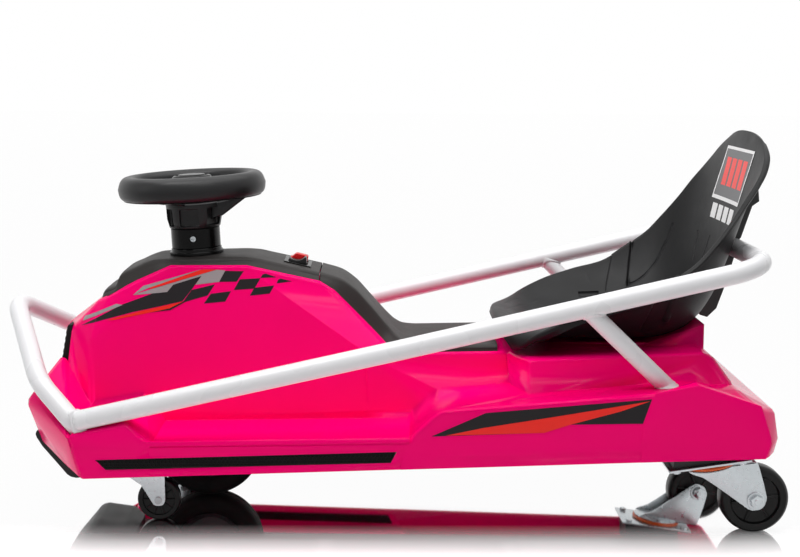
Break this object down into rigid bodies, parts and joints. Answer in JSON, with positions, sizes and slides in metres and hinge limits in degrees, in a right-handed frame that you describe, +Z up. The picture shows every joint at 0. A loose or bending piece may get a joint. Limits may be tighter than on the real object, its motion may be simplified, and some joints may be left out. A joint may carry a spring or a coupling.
{
  "type": "electric drift kart",
  "caption": "Low ride-on drift kart with a moulded body, bucket seat, tubular bumper and guard rail, steered drive wheel, small front rollers and tilted rear swivel casters.",
  "frame": {"origin": "middle of the kart on the ground, under the centre of the overall box", "axes": "+X towards the tail, +Y to the driver's right, +Z up; the driver faces -X"},
  "size_m": [1.0307, 0.471, 0.5035],
  "materials": {
    "pink_body": "glossy injection-moulded polypropylene in strong pink",
    "dark_trim": "satin dark grey moulded plastic",
    "black_mesh": "black moulded honeycomb mesh",
    "black_pan": "satin black moulded pan",
    "white_tube": "glossy white powder coat on steel tube",
    "black_frame": "satin black powder coat on steel",
    "black_seat": "grained black blow-moulded polyethylene",
    "black_bracket": "black powder coat",
    "steering_black": "satin black plastic, lightly grained",
    "column_black": "semi-gloss black plastic",
    "drive_tyre": "matt black rubber tread",
    "drive_hub": "dark grey nylon hub",
    "roller_black": "hard black polyurethane, satin",
    "zinc_steel": "bright zinc-plated pressed steel",
    "plain_steel": "turned bright steel",
    "orange_race": "orange grease-filled ball race ring",
    "bush_plastic": "natural acetal",
    "motor_can": "drawn steel motor can",
    "battery_case": "dark grey moulded battery case",
    "controller_case": "plain aluminium case",
    "pedal_black": "ribbed matt black plastic",
    "rocker_red": "glossy red switch rocker",
    "rocker_black": "glossy black switch rocker"
  },
  "bodies": {
    "chassis": {"body_shell": "pink_body", "chassis_frame": "black_frame", "front_bumper_hoop": "white_tube", "guard_rail": "white_tube", "rail_strut_left": "white_tube", "rail_strut_right": "white_tube", "hood_trim_front": "dark_trim", "hood_trim_rear": "dark_trim", "front_grille": "black_mesh", "side_grille_left": "black_mesh", "side_grille_right": "black_mesh", "nose_pan": "black_pan", "head_bush_lower": "bush_plastic", "head_bush_upper": "bush_plastic", "column_flange": "column_black", "switch_bezel": "column_black", "seat_shell": "black_seat", "seat_back_bracket": "black_bracket", "seat_bolt_front_left": "zinc_steel", "seat_bolt_front_right": "zinc_steel", "seat_bolt_rear_left": "zinc_steel", "seat_bolt_rear_right": "zinc_steel", "battery_tray": "black_frame", "battery_pack": "battery_case", "motor_controller": "controller_case", "pedal_bracket": "black_frame", "front_roller_bracket_left": "zinc_steel", "front_roller_bracket_right": "zinc_steel", "front_roller_pin_left": "plain_steel", "front_roller_pin_right": "plain_steel", "rear_caster_plate_left": "zinc_steel", "rear_caster_plate_right": "zinc_steel", "rear_caster_race_left": "orange_race", "rear_caster_race_right": "orange_race"},
    "steering": {"steering_wheel": "steering_black", "steering_cap": "column_black", "steering_column": "column_black", "column_screw": "zinc_steel", "steering_shaft": "plain_steel", "drive_fork": "black_frame", "drive_motor": "motor_can", "drive_axle": "plain_steel"},
    "drive_wheel": {"drive_tyre": "drive_tyre", "drive_hub": "drive_hub"},
    "roller_left": {"front_roller_left": "roller_black"},
    "roller_right": {"front_roller_right": "roller_black"},
    "caster_left": {"rear_caster_fork_left": "zinc_steel", "rear_caster_axle_left": "zinc_steel"},
    "caster_right": {"rear_caster_fork_right": "zinc_steel", "rear_caster_axle_right": "zinc_steel"},
    "caster_wheel_left": {"rear_caster_wheel_left": "roller_black"},
    "caster_wheel_right": {"rear_caster_wheel_right": "roller_black"},
    "accelerator": {"accelerator_pedal": "pedal_black"},
    "direction_switch": {"direction_rocker": "rocker_black"},
    "power_switch": {"power_rocker": "rocker_red"}
  },
  "joints": [
    {"name": "steering_turn", "type": "hinge", "parent": "chassis", "child": "steering", "pos_m": [-0.245, 0, 0.0725], "axis": [-0.0558, 0, 0.9984], "range_deg": [-90, 90]},
    {"name": "drive_spin", "type": "hinge", "parent": "steering", "child": "drive_wheel", "pos_m": [-0.245, 0, 0.0725], "axis": [0, 1, 0], "continuous": true},
    {"name": "front_roller_spin_left", "type": "hinge", "parent": "chassis", "child": "roller_left", "pos_m": [-0.298, -0.12, 0.028], "axis": [0, 1, 0], "continuous": true},
    {"name": "front_roller_spin_right", "type": "hinge", "parent": "chassis", "child": "roller_right", "pos_m": [-0.298, 0.12, 0.028], "axis": [0, 1, 0], "continuous": true},
    {"name": "rear_swivel_left", "type": "hinge", "parent": "chassis", "child": "caster_left", "pos_m": [0.413, -0.16, 0.08499], "axis": [-0.1478, 0, 0.989], "continuous": true},
    {"name": "rear_swivel_right", "type": "hinge", "parent": "chassis", "child": "caster_right", "pos_m": [0.413, 0.16, 0.08499], "axis": [-0.1478, 0, 0.989], "continuous": true},
    {"name": "rear_wheel_spin_left", "type": "hinge", "parent": "caster_left", "child": "caster_wheel_left", "pos_m": [0.4716, -0.16, 0.044], "axis": [0, 1, 0], "continuous": true},
    {"name": "rear_wheel_spin_right", "type": "hinge", "parent": "caster_right", "child": "caster_wheel_right", "pos_m": [0.4716, 0.16, 0.044], "axis": [0, 1, 0], "continuous": true},
    {"name": "accelerator_press", "type": "hinge", "parent": "chassis", "child": "accelerator", "pos_m": [-0.225, 0.16, 0.13707], "axis": [0, -1, 0], "range_deg": [0, 12], "stiffness_Nm_per_rad": 2, "springref_deg": -8.59},
    {"name": "direction_rock", "type": "hinge", "parent": "chassis", "child": "direction_switch", "pos_m": [-0.122, -0.011, 0.32431], "axis": [0, -1, 0], "range_deg": [0, 12]},
    {"name": "power_rock", "type": "hinge", "parent": "chassis", "child": "power_switch", "pos_m": [-0.122, 0.011, 0.32431], "axis": [0, -1, 0], "range_deg": [0, 12]}
  ]
}
